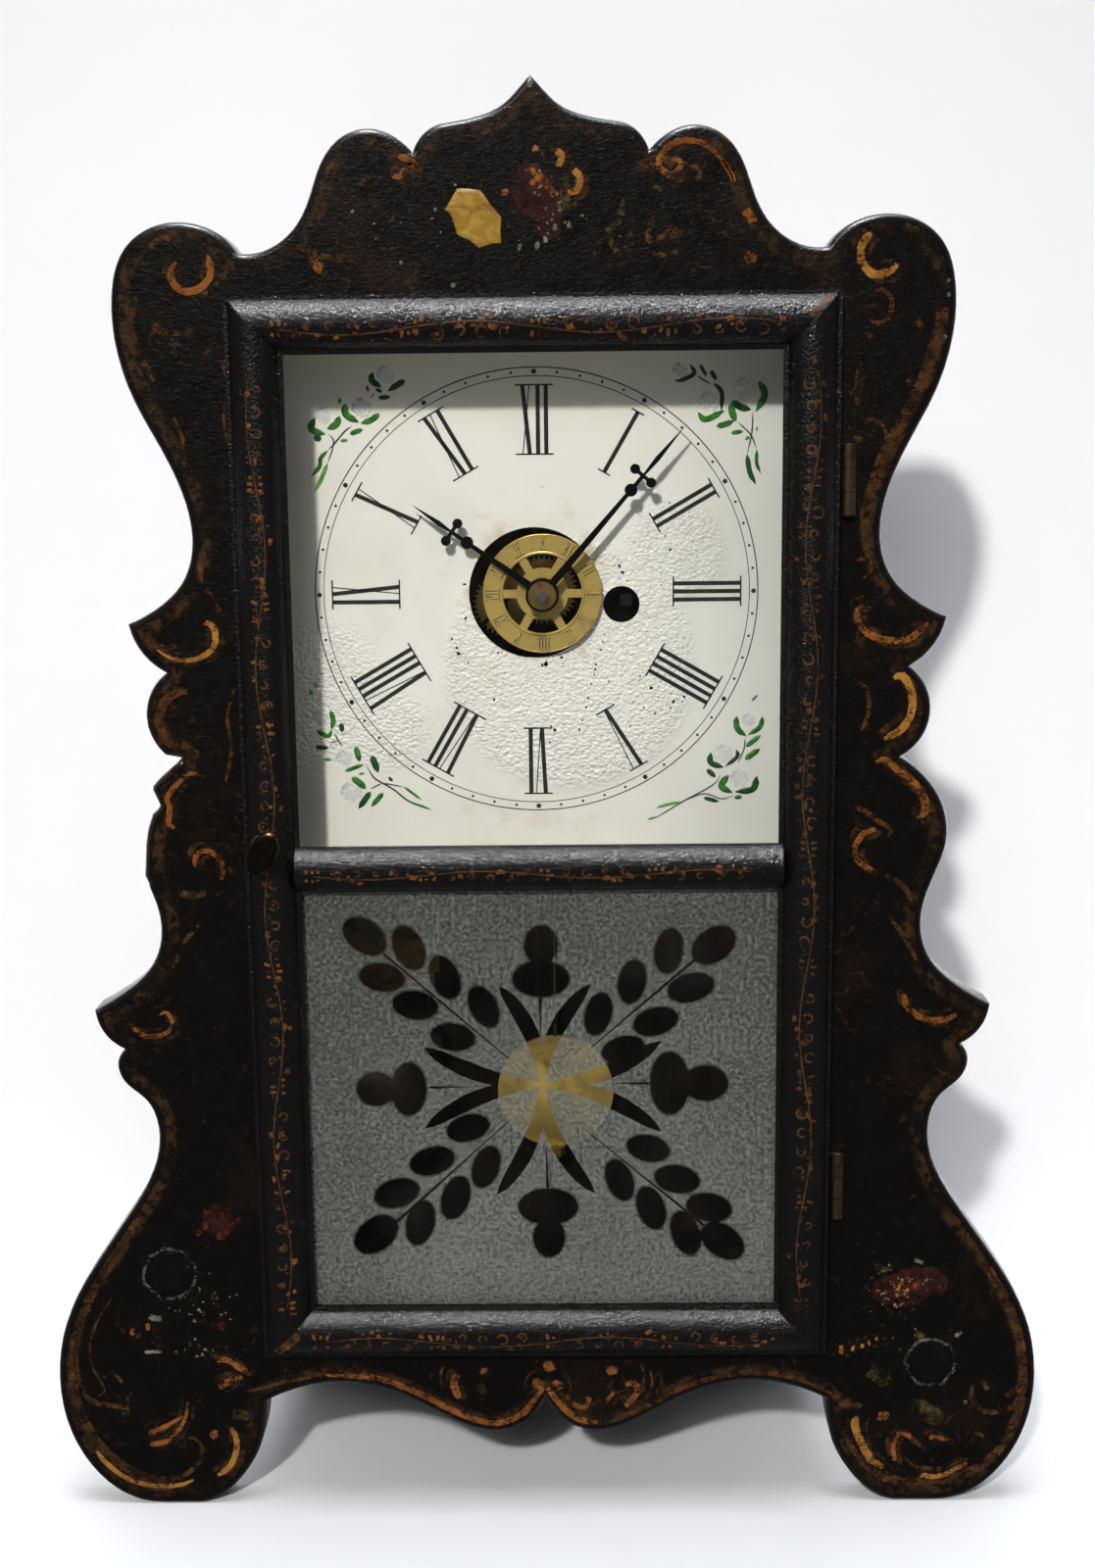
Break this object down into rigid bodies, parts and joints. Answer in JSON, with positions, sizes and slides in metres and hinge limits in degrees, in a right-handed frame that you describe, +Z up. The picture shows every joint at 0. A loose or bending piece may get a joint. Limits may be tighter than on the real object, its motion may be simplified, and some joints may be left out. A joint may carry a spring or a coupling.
{
  "type": "scroll-front shelf clock",
  "caption": "Black scroll-cut front board on a box case with a glazed two-light door, painted dial, hands, alarm disc, spring movement, pendulum and bell alarm.",
  "frame": {"origin": "middle of the clock's box on the surface that it stands on", "axes": "+X to the viewer's right, +Y from the dial to the backboard, +Z up"},
  "size_m": [0.2908, 0.1068, 0.4105],
  "materials": {
    "japanned": "black japan, worn and crazed",
    "case_wood": "dark stained softwood",
    "dial_paint": "cream oil paint",
    "brass": "aged",
    "black_iron": "black",
    "steel": "grey, aged",
    "clear_glass": "clear",
    "frosted_glass": "frosted with clear pattern"
  },
  "bodies": {
    "case": {"front_board": "japanned", "case_side_left": "case_wood", "case_side_right": "case_wood", "case_top": "case_wood", "case_bottom": "case_wood", "case_back": "case_wood", "case_nails": "steel", "dial_cleats": "case_wood", "dial_plate": "dial_paint", "dial_screws": "steel", "hinge_board_leaves": "brass", "hinge_pins": "steel", "movement_front_plate": "brass", "movement_back_plate": "brass", "movement_pillars": "steel", "pillar_nuts": "steel", "movement_posts": "case_wood", "movement_screws": "steel", "mainspring": "steel", "pendulum_cock": "brass", "alarm_frame": "brass", "alarm_mainspring": "steel", "alarm_bell": "brass", "bell_post": "steel"},
    "door": {"door_stile_left": "japanned", "door_stile_right": "japanned", "door_rail_top": "japanned", "door_rail_middle": "japanned", "door_rail_bottom": "japanned", "door_glass": "clear_glass", "door_tablet": "frosted_glass", "glazing_beads": "japanned", "hinge_door_leaves": "brass", "latch_rosette": "brass"},
    "latch": {"latch_knob": "brass", "latch_hook": "steel"},
    "centre": {"centre_arbor": "steel", "centre_wheel": "brass", "cannon_pinion": "brass", "minute_hand": "black_iron", "hand_washer": "brass"},
    "great": {"great_wheel": "brass", "click_spring": "brass"},
    "winding": {"winding_arbor": "steel", "ratchet_wheel": "steel"},
    "click_lever": {"click": "steel"},
    "third": {"third_wheel": "brass"},
    "escape": {"escape_wheel": "brass"},
    "motion_wheel": {"minute_wheel": "brass"},
    "hour": {"hour_wheel": "brass", "hour_hand": "black_iron"},
    "alarm_setting": {"alarm_disc": "brass"},
    "pendulum": {"pendulum_rod": "steel", "pendulum_bob": "brass", "rating_nut": "brass"},
    "verge": {"verge_and_crutch": "steel"},
    "alarm_escape": {"alarm_wheel": "brass"},
    "alarm_winding": {"alarm_arbor": "steel"},
    "hammer": {"alarm_hammer": "black_iron"},
    "let_off": {"alarm_let_off": "black_iron"}
  },
  "joints": [
    {"name": "door_swing", "type": "hinge", "parent": "case", "child": "door", "pos_m": [0.0853, -0.04005, 0.304], "axis": [0, 0, 1], "range_deg": [0, 140]},
    {"name": "latch_turn", "type": "hinge", "parent": "door", "child": "latch", "pos_m": [-0.0764, -0.03895, 0.204], "axis": [0, 1, 0], "range_deg": [0, 90]},
    {"name": "minute_turn", "type": "hinge", "parent": "case", "child": "centre", "pos_m": [0.0015, -0.03865, 0.272], "axis": [0, 1, 0], "continuous": true},
    {"name": "great_wheel_turn", "type": "hinge", "parent": "case", "child": "great", "pos_m": [0.0255, -0.03865, 0.2696], "axis": [0, 1, 0], "continuous": true},
    {"name": "winding_turn", "type": "hinge", "parent": "great", "child": "winding", "pos_m": [0.0255, -0.03865, 0.2696], "axis": [0, 1, 0], "continuous": true},
    {"name": "click_lift", "type": "hinge", "parent": "great", "child": "click_lever", "pos_m": [0.03615, -0.03865, 0.27706], "axis": [0, 1, 0], "range_deg": [0, 8]},
    {"name": "third_wheel_turn", "type": "hinge", "parent": "case", "child": "third", "pos_m": [-0.00987, -0.03865, 0.29019], "axis": [0, 1, 0], "continuous": true},
    {"name": "escape_wheel_turn", "type": "hinge", "parent": "case", "child": "escape", "pos_m": [0.00314, -0.03865, 0.30035], "axis": [0, 1, 0], "continuous": true},
    {"name": "minute_wheel_turn", "type": "hinge", "parent": "case", "child": "motion_wheel", "pos_m": [-0.00978, -0.03865, 0.2679], "axis": [0, 1, 0], "continuous": true},
    {"name": "hour_turn", "type": "hinge", "parent": "case", "child": "hour", "pos_m": [0.0015, -0.03865, 0.272], "axis": [0, 1, 0], "continuous": true},
    {"name": "alarm_setting_turn", "type": "hinge", "parent": "hour", "child": "alarm_setting", "pos_m": [0.0015, -0.03865, 0.272], "axis": [0, 1, 0], "continuous": true},
    {"name": "pendulum_swing", "type": "hinge", "parent": "case", "child": "pendulum", "pos_m": [0.00314, -0.03865, 0.32165], "axis": [0, 1, 0], "range_deg": [-3, 3]},
    {"name": "verge_rock", "type": "hinge", "parent": "case", "child": "verge", "pos_m": [0.00314, -0.03865, 0.31335], "axis": [0, 1, 0], "range_deg": [-3.62, 3.62]},
    {"name": "alarm_wheel_turn", "type": "hinge", "parent": "case", "child": "alarm_escape", "pos_m": [-0.054, -0.03865, 0.16], "axis": [0, 1, 0], "continuous": true},
    {"name": "alarm_winding_turn", "type": "hinge", "parent": "alarm_escape", "child": "alarm_winding", "pos_m": [-0.054, -0.03865, 0.16], "axis": [0, 1, 0], "continuous": true},
    {"name": "hammer_strike", "type": "hinge", "parent": "case", "child": "hammer", "pos_m": [-0.041, -0.03865, 0.173], "axis": [0, 1, 0], "range_deg": [-8, 1.5]},
    {"name": "let_off_lift", "type": "hinge", "parent": "case", "child": "let_off", "pos_m": [-0.0205, -0.03865, 0.258], "axis": [0, -1, 0], "range_deg": [0, 5]}
  ],
  "couplings": [
    {"joint": "great_wheel_turn", "follows": "minute_turn", "ratio": -0.16667},
    {"joint": "third_wheel_turn", "follows": "minute_turn", "ratio": -12},
    {"joint": "escape_wheel_turn", "follows": "minute_turn", "ratio": 120},
    {"joint": "minute_wheel_turn", "follows": "minute_turn", "ratio": -0.33333},
    {"joint": "hour_turn", "follows": "minute_turn", "ratio": 0.083333},
    {"joint": "verge_rock", "follows": "pendulum_swing", "ratio": 1.2075}
  ]
}
